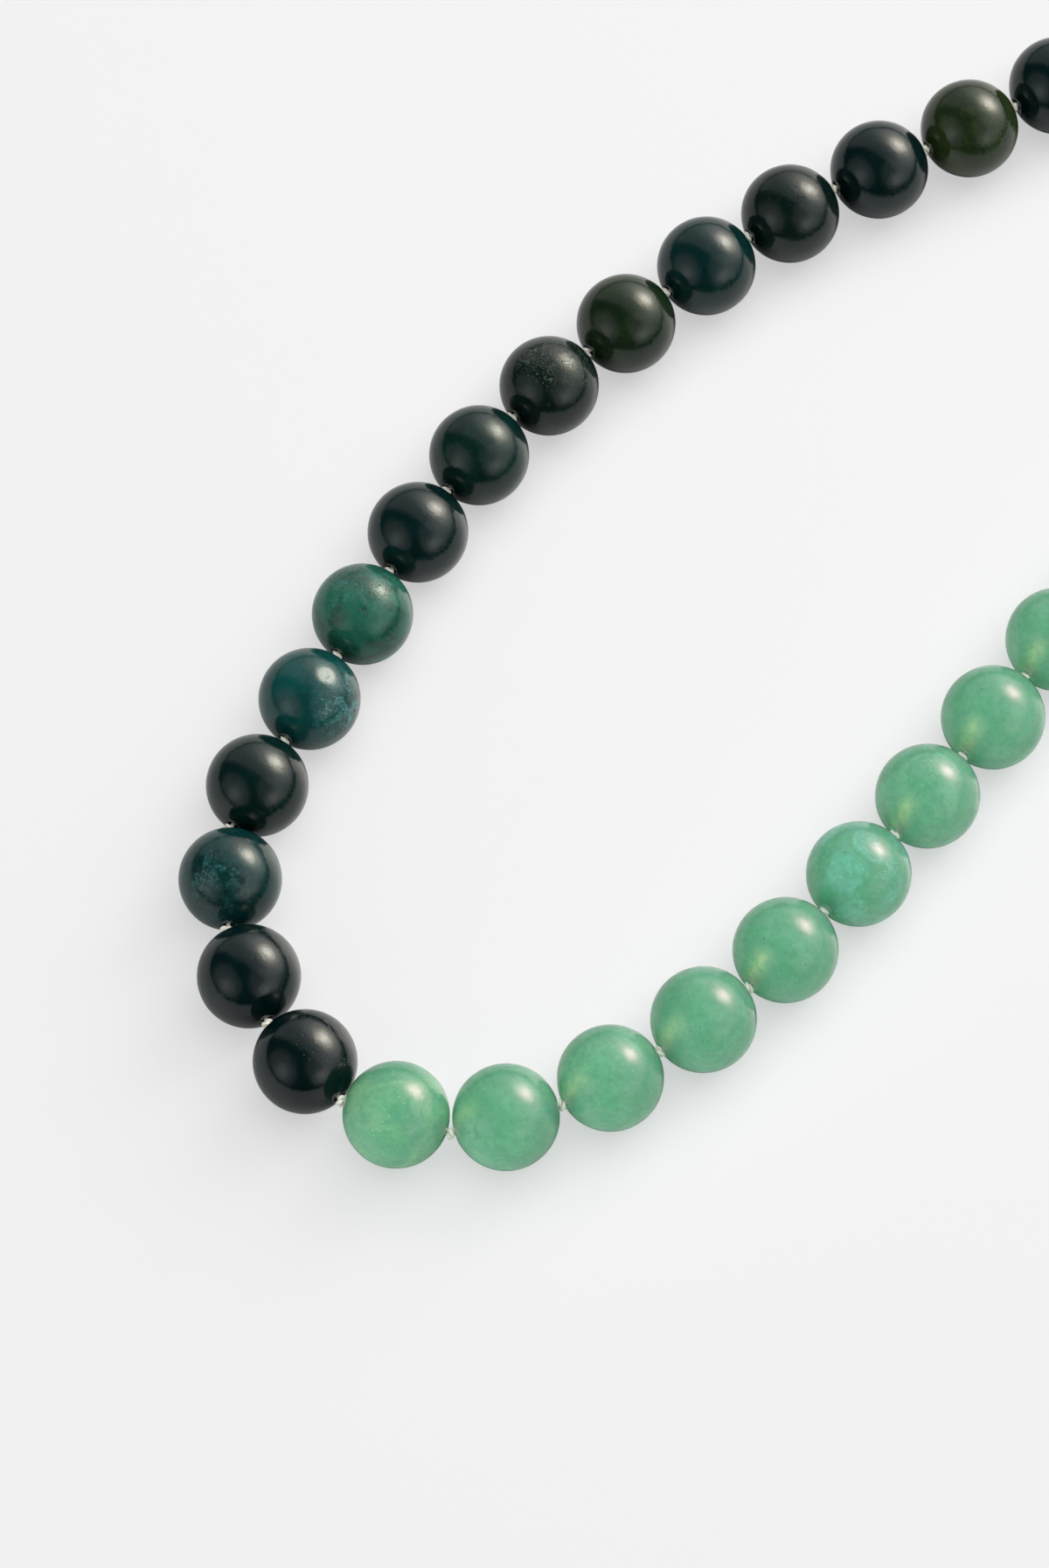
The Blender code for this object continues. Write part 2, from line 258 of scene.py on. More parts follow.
class NecklaceStudioSettings(bpy.types.PropertyGroup):
    """Camera, floor and lights."""

    azimuth: FloatProperty(
        name="Azimuth", description="Camera's turn about the necklace",
        default=math.radians(53.0), subtype="ANGLE")
    elevation: FloatProperty(
        name="Elevation", description="Camera's height above the floor, as an angle",
        default=math.radians(64.65), subtype="ANGLE")
    distance: metres("Distance", 0.5777, "Camera's distance from what it looks at")
    target: FloatVectorProperty(
        name="Target", description="Point that the camera looks at",
        default=(2.57 * MM, -66.43 * MM, 5.0 * MM), subtype="XYZ_LENGTH")
    lens: amount("Lens", 136.75, "Focal length on a 36 mm long side")
    floor: metres("Floor", 4.0, "Radius of the floor")
    paper: paint("Paper", (0.80, 0.80, 0.80), "Colour of the paper floor")
    lift: FloatProperty(
        name="Shadow lift", description="Share by which shadows on the floor are lightened",
        default=0.65, min=0.0, max=1.0, subtype="FACTOR")
    glow: amount("Floor glow", 0.54, "Brightness that the lifted shadows keep")
    warmth: paint("Warmth", (1.0, 0.95, 0.82), "Colour of the softbox that the beads mirror")
    backdrop: amount("Backdrop", 0.90, "Brightness of the backdrop over the floor")
    overhead: amount("Overhead", 14.1, "Power of the large overhead softbox")
    key: amount("Key", 6.8, "Power of the softbox behind the necklace, on the right")
    fill: amount("Fill", 2.7, "Power of the softbox in front, on the left")
    low: amount("Low fill", 4.9, "Power of the low softbox that lights the pale beads alone")


def unit(vectors):
    """Vectors scaled to length one."""
    return vectors / np.linalg.norm(vectors, axis=-1, keepdims=True)


def round_angles(count):
    """Angles spread evenly round a circle."""
    return np.linspace(0.0, math.tau, count, endpoint=False)


def view_axes(studio):
    """Unit vectors to the right of, away from, up over and towards the photo's camera.

    away lies on the floor; towards runs from the target to the camera, and lift is the
    camera's own upward direction.
    """
    turn, rise = studio.azimuth, studio.elevation
    right = np.array((math.cos(turn), math.sin(turn), 0.0))
    away = np.array((-math.sin(turn), math.cos(turn), 0.0))
    up = np.array(UP)
    towards = -math.cos(rise) * away + math.sin(rise) * up
    lift = math.sin(rise) * away + math.cos(rise) * up
    return right, away, up, towards, lift


def as_seen(studio, rightwards, upwards, nearer):
    """World direction of one that is given as the photo's camera sees it."""
    right, _, _, towards, lift = view_axes(studio)
    return rightwards * right + upwards * lift + nearer * towards


class Bead(NamedTuple):
    """One CAD bead: its node, centre, radius and bore direction along the string."""

    node: str
    centre: np.ndarray
    radius: float
    axis: np.ndarray


def node_points(name):
    """Vertices of a CAD node as an array."""
    mesh = frame["nodes"][name].data
    points = np.empty(len(mesh.vertices) * 3)
    mesh.vertices.foreach_get("co", points)
    return points.reshape(-1, 3)


def long_axis(points):
    """Direction in which a cloud of points spreads most."""
    spread = points - points.mean(axis=0)
    return np.linalg.svd(spread, full_matrices=False)[2][0]


def read_beads():
    """The CAD beads in string order, dark half first.

    A bead's bore runs along the line on which the points well inside its ball spread.
    """
    inside = 0.95
    names = [n for n in frame["nodes"] if "_bead_" in n]
    names.sort(key=lambda n: (n.startswith("aventurine"), n))
    found = []
    for name in names:
        points = node_points(name)
        low, high = points.min(axis=0), points.max(axis=0)
        centre = 0.5 * (low + high)
        radius = 0.5 * (high[2] - low[2])
        bore = points[np.linalg.norm(points - centre, axis=1) < inside * radius]
        found.append((name, centre, radius, long_axis(bore)))
    centres = np.array([row[1] for row in found])
    beads = []
    for (name, centre, radius, axis), way in zip(found, np.gradient(centres, axis=0)):
        axis = axis * np.sign(axis @ way)
        axis[2] = 0.0
        beads.append(Bead(name, centre, radius, unit(axis)))
    return beads


BEADS = read_beads()
_, CENTRES, RADII, AXES = (np.array(column) for column in zip(*BEADS))


def grid_mesh(name, points, closed_rows, material, attributes=None):
    """Mesh over a grid of points whose columns close on themselves.

    Faces join each row to the next one, and the last row to the first or, where the rows
    are open, both ends get a flat cap. Faces are turned to point outwards by the sign of
    the enclosed volume. The UV map runs round the columns and along the rows.
    """
    rows, cols = points.shape[:2]
    spans = rows if closed_rows else rows - 1
    i, j = np.meshgrid(np.arange(spans), np.arange(cols), indexing="ij")
    after_i, after_j = (i + 1) % rows, (j + 1) % cols
    corners = ((i, j), (i, after_j), (after_i, after_j), (after_i, j))
    quads = np.stack([r * cols + c for r, c in corners], axis=-1).reshape(-1, 4)
    steps = ((0, 0), (0, 1), (1, 1), (1, 0))
    uv = np.stack([np.stack(((j + dj) / cols, (i + di) / spans), -1) for di, dj in steps], axis=-2)
    uv = uv.reshape(-1, 4, 2)
    flat = points.reshape(-1, 3)
    a, b, c, d = (flat[quads[:, k]] for k in range(4))
    volume = np.einsum("ij,ij->", a, np.cross(b, c)) + np.einsum("ij,ij->", a, np.cross(c, d))
    if volume < 0.0:
        quads, uv = quads[:, ::-1], uv[:, ::-1]
    faces = quads.tolist()
    if not closed_rows:
        first = list(range(cols))
        last = list(range((rows - 1) * cols, rows * cols))
        faces += [first, last[::-1]] if volume < 0.0 else [first[::-1], last]
    mesh = bpy.data.meshes.new(name)
    mesh.from_pydata(flat.tolist(), [], faces)
    layer = mesh.uv_layers.new(name="UVMap")
    corner_uv = np.zeros((len(mesh.loops), 2))
    corner_uv[:len(quads) * 4] = uv.reshape(-1, 2)
    layer.data.foreach_set("uv", corner_uv.ravel())
    for key, values in (attributes or {}).items():
        attribute = mesh.attributes.new(key, "FLOAT", "POINT")
        attribute.data.foreach_set("value", np.asarray(values, dtype=float).ravel())
    mesh.materials.append(material)
    mesh.shade_smooth()
    return mesh


def add_piece(mesh, nodes, slot):
    """Link a finished piece, riding on the body and standing for its CAD nodes."""
    piece = bpy.data.objects.new(mesh.name, mesh)
    bpy.context.scene.collection.objects.link(piece)
    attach(piece, BODY)
    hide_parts(*nodes)
    return piece


def slot_of(node):
    """The record's material slot of a CAD node."""
    for part in frame["record"]["subparts"]:
        if part["node"] == node:
            return part["material_slot"]
    raise ValueError(f"no slot for {node}")


class Shader:
    """Adds nodes to one material or world and joins them by socket name."""

    def __init__(self, name, world=None):
        self.material = world or bpy.data.materials.new(name)
        self.material.use_nodes = True
        self.tree = self.material.node_tree
        self.surface = self.tree.nodes.get("Principled BSDF")
        self.coordinates = self.tree.nodes.new("ShaderNodeTexCoord").outputs
        self.place = self.coordinates["Object"]

    def put(self, node, socket, value):
        """Set an input, or join it where the value is another node's output."""
        target = node.inputs[socket]
        if isinstance(value, bpy.types.NodeSocket):
            self.tree.links.new(value, target)
        elif target.type == "RGBA":
            target.default_value = (*value, 1.0)
        else:
            target.default_value = value

    def fill(self, node, inputs):
        """Set or join several inputs of a node."""
        for socket, value in inputs.items():
            self.put(node, socket, value)

    def add(self, kind, inputs, output=0, **settings):
        """A new node with its settings and inputs; returns one of its outputs."""
        node = self.tree.nodes.new("ShaderNode" + kind)
        for key, value in settings.items():
            setattr(node, key, value)
        self.fill(node, inputs)
        return node.outputs[output]

    def noise(self, size, detail=2.0, roughness=0.5, distortion=0.0, at=None):
        """Noise whose blotches are about size metres across."""
        inputs = {"Vector": at or self.place, "Scale": 1.0 / size, "Detail": detail,
                  "Roughness": roughness, "Distortion": distortion}
        return self.add("TexNoise", inputs)

    def blotches(self, low, high, *noise):
        """Noise cut to blotches by a smooth step from low to high."""
        return self.ramp(self.noise(*noise), low, high)

    def cells(self, size, at=None, output=0):
        """Cells about size metres across: distance from their middles, or another output."""
        inputs = {"Vector": at or self.place, "Scale": 1.0 / size}
        return self.add("TexVoronoi", inputs, output)

    def ramp(self, value, low, high, to_low=0.0, to_high=1.0):
        """Smooth step of a value from one range to another."""
        inputs = {"Value": value, "From Min": low, "From Max": high, "To Min": to_low,
                  "To Max": to_high}
        return self.add("MapRange", inputs, interpolation_type="SMOOTHSTEP")

    def calculate(self, operation, *values):
        """One step of arithmetic on one or two values."""
        return self.add("Math", dict(enumerate(values)), operation=operation)

    def times(self, value, *others):
        """Product of one or more values."""
        for other in others:
            value = self.calculate("MULTIPLY", value, other)
        return value

    def plus(self, first, second):
        """Sum of two values."""
        return self.calculate("ADD", first, second)

    def over(self, colour, tone, *shares):
        """A tone laid over a colour by the product of its shares."""
        inputs = {0: self.times(*shares), 6: colour, 7: tone}
        return self.add("Mix", inputs, 2, data_type="RGBA")

    def dress(self, inputs):
        """Fill the surface's inputs and return the finished material."""
        self.fill(self.surface, inputs)
        return self.material

    def attribute(self, name):
        """A number stored on the mesh."""
        return self.add("Attribute", {}, "Fac", attribute_name=name)

    def ray(self, kind):
        """One for rays of a kind, such as those seen in a mirror, and zero for others."""
        return self.add("LightPath", {}, f"Is {kind} Ray")

    def bump(self, height, depth, under=None):
        """Relief of a height from 0 to 1 that stands depth metres tall."""
        inputs = {"Height": height, "Distance": depth, "Strength": 1.0}
        if under is not None:
            inputs["Normal"] = under
        return self.add("Bump", inputs)


def mixed(first, second, share):
    """Colour between two tones."""
    return tuple(a + (b - a) * share for a, b in zip(first, second))


def grain(shader, size, depth):
    """Fine orange peel of a tumbled polish, as relief in two sizes."""
    coarse = shader.bump(shader.noise(3.2 * size, 2.0, 0.5), 1.6 * depth)
    return shader.bump(shader.noise(size, 3.0, 0.7), depth, coarse)


def moss_agate(name, stones, row):
    """Dark polished stone: two tones in clouds, moss threads, pale crystal and pores."""
    look = dict(zip(DARK_COLUMNS, row))
    shader = Shader(name)
    accent = getattr(stones, look["accent"])
    body = mixed(stones.ink, accent, look["share"])
    dark = mixed(body, stones.ink, 0.6)
    light = tuple(1.3 * channel for channel in mixed(body, accent, 0.45 * look["share"]))
    reach = 0.5 * look["mottle"]
    clouds = shader.blotches(0.38, 0.62, 3.0 * MM, 6.0, 0.70, 0.2)
    clouds = shader.ramp(clouds, 0.0, 1.0, 0.5 - reach, 0.5 + reach)
    colour = shader.over(dark, light, clouds)
    fleck = shader.blotches(0.50, 0.62, 0.5 * MM, 5.0, 0.8)
    colour = shader.over(colour, light, fleck, 0.7 * look["mottle"])
    patch = shader.attribute("patch")
    if look["moss"]:
        threads = shader.blotches(0.55, 0.66, 0.34 * MM, 4.0, 0.75, 1.8)
        beds = shader.blotches(0.46, 0.66, 2.0 * MM, 2.0)
        beds = shader.plus(shader.times(beds, 0.25), shader.times(patch, 0.9))
        threads = shader.times(threads, beds)
        colour = shader.over(colour, stones.moss, threads, 0.6 * look["moss"])
    if look["haze"]:
        bend = shader.add("TexNoise", {"Vector": shader.place, "Scale": 1.0 / (1.2 * MM)}, "Color")
        bent = shader.add("Mix", {0: 0.0006, 4: shader.place, 5: bend}, 1, data_type="VECTOR")
        cells = shader.cells(0.9 * MM, bent, "Color")
        chosen = shader.ramp(shader.add("SeparateColor", {0: cells}), 0.66, 0.74)
        needles = shader.blotches(0.44, 0.62, 0.36 * MM, 5.0, 0.85, 1.0)
        flakes = shader.times(chosen, needles)
        fog = shader.ramp(shader.noise(0.55 * MM, 6.0, 0.85), 0.48, 0.66, 0.0, 0.45)
        crystals = shader.plus(flakes, fog)
        colour = shader.over(colour, stones.crystal, crystals, patch, 0.70 * look["haze"])
    normal = grain(shader, 0.34 * MM, 0.015 * MM)
    if look["moss"]:
        normal = shader.bump(threads, -0.015 * MM * look["moss"], normal)
    if look["pits"]:
        cells = shader.cells(0.48 * MM)
        kept = shader.blotches(0.42, 0.54, 0.9 * MM, 2.0)
        near = shader.ramp(patch, 0.10, 0.6)
        pores = shader.times(shader.ramp(cells, 0.12, 0.26, 1.0, 0.0), kept, near)
        normal = shader.bump(pores, -0.022 * MM * look["pits"], normal)
        colour = shader.over(colour, stones.ink, pores, 0.8 * look["pits"])
    return shader.dress({"Base Color": colour, "Normal": normal, "Roughness": 0.045,
                         "IOR": STONE_IOR})


def aventurine(name, stones, row):
    """Pale translucent stone: milky and yellower clouds, specks and a painted glow at the bore."""
    look = dict(zip(PALE_COLUMNS, row))
    shader = Shader(name)
    clouds = shader.blotches(0.40, 0.64, 4.2 * MM, 5.0, 0.65, 0.8)
    fine = shader.blotches(0.42, 0.68, 0.6 * MM, 4.0, 0.75)
    cloud = mixed(stones.milk, stones.warm, look["warm"])
    colour = shader.over(stones.pale, cloud, clouds, 0.25 + 0.6 * look["cloud"])
    colour = shader.over(colour, mixed(stones.pale, stones.deep, 0.5), fine, 0.34)
    wisps = shader.ramp(shader.noise(0.7 * MM, 3.0, 0.7), 0.30, 0.66, 0.45, 1.0)
    # Painted glow of silk seen through the stone; below zero, a painted shade of the bore
    tint = stones.glow if look["glow"] > 0.0 else mixed(stones.pale, stones.shade, 0.6)
    colour = shader.over(colour, tint, shader.attribute("glow"), wisps, abs(look["glow"]))
    grains = shader.ramp(shader.cells(0.50 * MM), 0.06, 0.16, 1.0, 0.0)
    colour = shader.over(colour, stones.sparkle, grains, 0.5 * look["cloud"])
    moved = shader.add("Mapping", {"Vector": shader.place, "Location": (0.003, 0.002, 0.001)})
    cells = shader.cells(0.62 * MM, moved)
    rare = shader.blotches(0.54, 0.64, 1.6 * MM, 1.0)
    specks = shader.ramp(cells, 0.05, 0.15, 1.0, 0.0)
    colour = shader.over(colour, stones.speck, specks, rare, look["specks"])
    # Painted tones for other rays: darker in the neighbours' mirrors, brighter in the light cast
    # round
    colour = shader.over(colour, stones.mirrored, shader.ray("Glossy"), 0.7)
    colour = shader.over(colour, stones.shed, shader.ray("Diffuse"))
    normal = grain(shader, 0.34 * MM, 0.006 * MM)
    return shader.dress({
        "Base Color": colour, "Normal": normal, "Roughness": 0.05, "IOR": STONE_IOR,
        "Specular IOR Level": 0.60, "Specular Tint": (1.0, 0.58, 0.80),
        "Subsurface Weight": 1.0, "Subsurface Radius": (0.45, 1.0, 0.65),
        "Subsurface Scale": 20.0 * MM})


def silk(name, cord):
    """Soft twisted silk with fine fibres along the cord."""
    shader = Shader(name)
    stretch = {"Vector": shader.coordinates["UV"], "Scale": (14.0, 900.0, 1.0)}
    fibres = shader.noise(1.0, 3.0, 0.6, at=shader.add("Mapping", stretch))
    worn = shader.blotches(0.35, 0.7, 0.5 * MM, 3.0, 0.6)
    base = shader.over(cord.silk, mixed(cord.silk, cord.worn, 0.45), worn, 0.25)
    return shader.dress({
        "Base Color": base, "Normal": shader.bump(fibres, 0.01 * MM), "Roughness": 0.62,
        "Subsurface Weight": 0.25, "Subsurface Radius": (1.0, 0.9, 0.7),
        "Subsurface Scale": 0.2 * MM, "Sheen Weight": 0.3})


def silver(name, cord):
    """Polished silver with faint brushing and a few duller spots."""
    shader = Shader(name)
    brushed = shader.add("Mapping", {"Vector": shader.place, "Scale": (0.25, 1.0, 1.0)})
    lines = shader.noise(0.10 * MM, 4.0, 0.7, at=brushed)
    spots = shader.blotches(0.40, 0.70, 1.8 * MM, 4.0, 0.65)
    base = shader.over(cord.silver, mixed(cord.silver, cord.tarnish, 0.5), spots, 0.25)
    rough = shader.ramp(spots, 0.0, 1.0, 0.16, 0.30)
    return shader.dress({"Base Color": base, "Metallic": 1.0, "Roughness": rough,
                         "Normal": shader.bump(lines, 0.0012 * MM)})


def mouth_edge(angle, stones, rng):
    """Radius of a bore's mouth round its rim: nearly round, with a few small chips.

    The rim is the mouth's radius with slow ripples, and each chip adds a bell-shaped bite.
    """
    edge = np.full_like(angle, 0.5 * stones.mouth)
    for turns in (2, 3, 5):
        phase = rng.uniform(0.0, math.tau)
        edge += 0.012 * stones.mouth * np.sin(turns * angle + phase)
    for _ in range(rng.integers(1, 4)):
        middle = rng.uniform(0.0, math.tau)
        width = rng.uniform(0.10, 0.28)
        away = np.angle(np.exp(1j * (angle - middle)))
        edge += stones.chip * rng.uniform(0.3, 1.0) * np.exp(-(away / width) ** 2)
    return edge


def drilled_ball(bead, stones, rng):
    """Points of one drilled ball, as rows along its profile and columns round its bore.

    Over the ball a row lies at the polar angle that runs evenly from one mouth's rim to the
    other's. Then come the rounded lip, the cone of the countersink, the bore and the same
    on the way back. Slow sine waves across the ball push its skin in and out a little.
    Returns the points in bead space, with the bore along X and up along Z, in metres.
    """
    radius = bead.radius
    angle = round_angles(stones.around)
    rims = [mouth_edge(angle, stones, rng), mouth_edge(angle, stones, rng)]
    first, last = (np.arcsin(rim / radius) for rim in rims)
    share = np.linspace(0.0, 1.0, stones.along)[:, None]
    polar = first + (math.pi - first - last) * share
    ball_x = radius * np.cos(polar)
    ball_r = radius * np.sin(polar)
    bore = 0.5 * stones.bore
    cones = []
    for rim, side in ((rims[1], -1.0), (rims[0], 1.0)):
        top = radius * np.cos(np.arcsin(rim / radius))
        rows = [(side * (top - stones.mouth_depth * sunk), rim + (bore - rim) * inwards)
                for sunk, inwards in COUNTERSINK]
        cones.append(rows if side < 0.0 else rows[::-1])
    end = radius - stones.mouth_depth - 0.09 * MM
    tunnel = np.linspace(-end, end, 7)[1:-1, None] * np.ones_like(angle)
    profile = [(ball_x, ball_r), *cones[0], (tunnel, np.full_like(tunnel, bore)), *cones[1]]
    x, r = (np.vstack(column) for column in zip(*profile))
    points = np.stack((x, r * np.sin(angle), r * np.cos(angle)), axis=-1)
    waves = rng.normal(size=(WAVES, 3))
    lengths = rng.uniform(*WAVE_LENGTHS, WAVES)
    waves *= (math.tau / lengths / np.linalg.norm(waves, axis=1))[:, None]
    phases = rng.uniform(0.0, math.tau, WAVES)
    skin = points[:stones.along]
    heave = np.sin(skin @ waves.T + phases).sum(axis=-1) / math.sqrt(WAVES)
    skin *= (1.0 + stones.wobble * (heave - WAVE_SINK) / radius)[..., None]
    return points


def wear_flat(points, normal, height):
    """Points pressed back to a plane where they stand beyond it."""
    proud = np.maximum(points @ normal - height, 0.0)
    return points - proud[..., None] * normal


def bead_frame(bead):
    """Rows along the bore, to its side and up."""
    side = np.cross(UP, bead.axis)
    return np.array((bead.axis, side, UP))


def patch_weight(points, direction, radius):
    """Bell-shaped weight over the ball round a direction, 1 at its middle."""
    facing = (points @ unit(direction)) / radius
    return np.clip((facing - PATCH_RIM) / (1.0 - PATCH_RIM), 0.0, 1.0) ** 1.5


def painted_bore_glow(points, radius):
    """Weight of painted glow over the ball's top above the bore's ends, where silk shows through.

    It is a streak as wide as the bore that runs in from the mouth by which a bead was pulled
    against the one before it, and only a trace of it shows at the other mouth.
    """
    along, side, up = (np.moveaxis(points, -1, 0) / radius)
    streak = np.exp(-(side / GLOW_WIDTH) ** 2)
    reach = np.clip((np.abs(along) - GLOW_START) / GLOW_RISE, 0.0, 1.0)
    share = np.where(along < 0.0, 1.0, FAR_GLOW) * (up > 0.0)
    return streak * reach**2 * (3.0 - 2.0 * reach) * share


def drilled_beads(kind, rows, seed, stones):
    """Number, bead, row of the table and drilled points in bead space of each bead of a kind."""
    beads = [bead for bead in BEADS if bead.node.startswith(kind)]
    for number, (bead, row) in enumerate(zip(beads, rows), 1):
        yield number, bead, row, drilled_ball(bead, stones, np.random.default_rng(seed + number))


def add_bead(name, bead, points, material, weights):
    """Add a finished bead, whose points are turned into place about its centre."""
    mesh = grid_mesh(name, points + bead.centre, True, material, weights)
    return add_piece(mesh, [bead.node], slot_of(bead.node))


class NECKLACE_OT_moss_agate_beads(bpy.types.Operator):
    """Build the dark moss agate beads"""

    bl_idname = "necklace.moss_agate_beads"
    bl_label = "Moss agate beads"

    def execute(self, context):
        stones = context.scene.necklace_stones
        studio = context.scene.necklace_studio
        dark = drilled_beads("moss_agate", DARK_STONES, DARK_SEED, stones)
        for number, bead, row, points in dark:
            turned = points @ bead_frame(bead)
            if bead.node == WORN_BEAD:
                x, y = WORN_SPOT
                normal = as_seen(studio, x, y, math.sqrt(1.0 - x * x - y * y))
                turned = wear_flat(turned, normal, bead.radius * math.cos(WORN_REACH))
            patch = patch_weight(turned, as_seen(studio, *row[-1]), bead.radius)
            material = moss_agate(f"moss_agate_{number:02d}", stones, row)
            add_bead(f"moss_agate_stone_{number:02d}", bead, turned, material, {"patch": patch})
        return {"FINISHED"}


class NECKLACE_OT_aventurine_beads(bpy.types.Operator):
    """Build the pale aventurine beads"""

    bl_idname = "necklace.aventurine_beads"
    bl_label = "Aventurine beads"

    def execute(self, context):
        stones = context.scene.necklace_stones
        pale = drilled_beads("aventurine", PALE_STONES, PALE_SEED, stones)
        for number, bead, row, points in pale:
            # Where the painted glow of the silk seen through the stone lies on the ball
            glow = painted_bore_glow(points, bead.radius)
            material = aventurine(f"aventurine_{number:02d}", stones, row)
            piece = add_bead(f"aventurine_stone_{number:02d}", bead, points @ bead_frame(bead),
                             material, {"glow": glow})
            pale_stones().objects.link(piece)
        return {"FINISHED"}


def catmull_rom(points, steps):
    """Smooth curve through points, with steps to each span and the ends kept."""
    padded = np.vstack((2.0 * points[:1] - points[1:2], points, 2.0 * points[-1:] - points[-2:-1]))
    a, b, c, d = padded[:-3, None], padded[1:-2, None], padded[2:-1, None], padded[3:, None]
    t = np.linspace(0.0, 1.0, steps, endpoint=False)[None, :, None]
    bend = 2.0 * a - 5.0 * b + 4.0 * c - d
    twist = 3.0 * b - a - 3.0 * c + d
    curve = 0.5 * (2.0 * b + (c - a) * t + bend * t**2 + twist * t**3)
    return np.vstack((curve.reshape(-1, 3), points[-1:]))


def carried_frames(path):
    """Two directions across a path at each point, carried along it without twisting.

    Each step reflects the last pair into the next tangent's plane.
    """
    tangents = unit(np.gradient(path, axis=0))
    across = unit(np.cross(tangents[0], UP))
    firsts = [across]
    for here, after in zip(tangents, tangents[1:]):
        both = here + after
        across = across - (across @ both) / max(1.0 + here @ after, 1e-9) * both
        across = unit(across - after * (across @ after))
        firsts.append(across)
    firsts = np.array(firsts)
    return firsts, np.cross(tangents, firsts)


def clasp_ends():
    """The middle of the clasp, its direction from the pale to the dark end, and its sizes."""
    points = node_points("box_clasp")
    axis = long_axis(points)
    axis[2] = 0.0
    axis = unit(axis) * np.sign(axis @ (CENTRES[0] - CENTRES[-1]))
    low, high = points.min(axis=0), points.max(axis=0)
    side = np.cross(UP, axis)
    length = np.ptp(points @ axis)
    width = np.ptp(points @ side)
    return 0.5 * (low + high), axis, (length, width, high[2] - low[2])


def knot_path(cord, rng):
    """The string's path, its direction at each knot, and how many points each knot has.

    The string bends at the middle of each gap between two beads. A knot there is an open
    trefoil pulled down flat: its turn runs twice about the string while the cord swings three
    times in and out, so that its distance from the string's line is a mean radius less a
    cosine and its place along the line a sine of one and a half times the turn. Straight runs
    in the bores lead in and out.
    """
    reach = AXES * (RADII + 0.5 * cord.gap)[:, None]
    before, after = CENTRES - reach, CENTRES + reach
    corners = np.vstack((before[:1], 0.5 * (after[:-1] + before[1:]), after[-1:]))
    clasp, clasp_axis, clasp_size = clasp_ends()
    half = 0.5 * clasp_size[0]
    dark_end, pale_end = clasp + half * clasp_axis, clasp - half * clasp_axis
    ahead = np.vstack((AXES, unit(pale_end - corners[-1])))
    behind = np.vstack((unit(corners[0] - dark_end), AXES))
    tangent = unit(ahead + behind)
    room = (np.append(RADII, RADII[-1]) + 0.5 * cord.gap)[:, None]
    lean = rng.uniform(*KNOT_LEAN, len(corners))[:, None] * 0.5 * (behind - ahead) * room
    side = unit(np.cross(tangent, UP))
    up = np.cross(side, tangent)
    swing = KNOT_SWING * cord.knot
    mean = 0.5 * cord.knot - 0.5 * cord.thread - swing
    turn = np.linspace(KNOT_EASE, 2.0 * math.tau - KNOT_EASE, KNOT_POINTS)
    roll = rng.uniform(0.0, math.tau, len(corners))[:, None]
    hand = rng.choice((-1.0, 1.0), len(corners))[:, None]
    away = (mean - swing * np.cos(1.5 * turn)) * np.ones_like(roll)
    shift = swing * np.sin(1.5 * turn) * np.ones_like(roll)
    swept = hand * turn + roll
    loops = (corners + lean)[:, None] + shift[..., None] * tangent[:, None]
    loops += (away * np.cos(swept))[..., None] * side[:, None]
    loops += (away * np.sin(swept))[..., None] * up[:, None]
    runs = np.array((2.2, 1.5, 1.0))[None, :, None] * MM
    lead_in = corners[:, None] - behind[:, None] * runs
    lead_out = corners[:, None] + ahead[:, None] * runs[:, ::-1]
    rows = np.concatenate((lead_in, loops, lead_out), axis=1)
    start = np.array([dark_end - clasp_axis * deep for deep in (cord.tucked, 0.3 * MM)])
    end = np.array([pale_end + clasp_axis * deep for deep in (0.3 * MM, cord.tucked)])
    # The string's outermost points give way to those in the clasp's sockets
    spare = len(start)
    path = np.vstack((start, rows.reshape(-1, 3)[spare:-spare], end))
    return path, tangent, rows.shape[1]


def dot(first, second):
    """Scalar products of two arrays of vectors."""
    return (first * second).sum(axis=-1)


def press_between(points, owner, tangent, stones):
    """Flatten a knot's cord against the two balls and their countersinks.

    owner is the knot that each row of points belongs to, counted like the bead after it. A
    point's place along the string's tangent is held between the skins of the bead before it
    and the bead after it. Inside a countersink the skin lies deeper, by a cone, and inside
    the bore there is no limit.
    """
    clear = 0.015 * MM
    ahead = tangent[owner][:, None]
    place = start = dot(points, ahead)
    for bead, side in ((owner - 1, 1.0), (owner, -1.0)):
        missing = ((bead < 0) | (bead == len(BEADS)))[:, None]
        bead = np.clip(bead, 0, len(BEADS) - 1)
        centre, axis, radius = (values[bead][:, None] for values in (CENTRES, AXES, RADII))
        offset = points - centre
        lateral = np.linalg.norm(offset - dot(offset, axis)[..., None] * axis, axis=2)
        across = offset - dot(offset, ahead)[..., None] * ahead
        square = radius**2 - (across**2).sum(axis=2)
        skin = dot(centre, ahead) + side * np.sqrt(np.maximum(square, 0.0))
        bore, mouth = 0.5 * stones.bore, 0.5 * stones.mouth
        sunk = stones.mouth_depth * np.clip((mouth - lateral) / (mouth - bore), 0.0, 1.0)
        limit = skin + side * (clear - sunk)
        free = (lateral < bore - 0.02 * MM) | (square <= 0.0) | missing
        held = np.maximum(place, limit) if side > 0.0 else np.minimum(place, limit)
        place = np.where(free, place, held)
    return points + (place - start)[..., None] * ahead


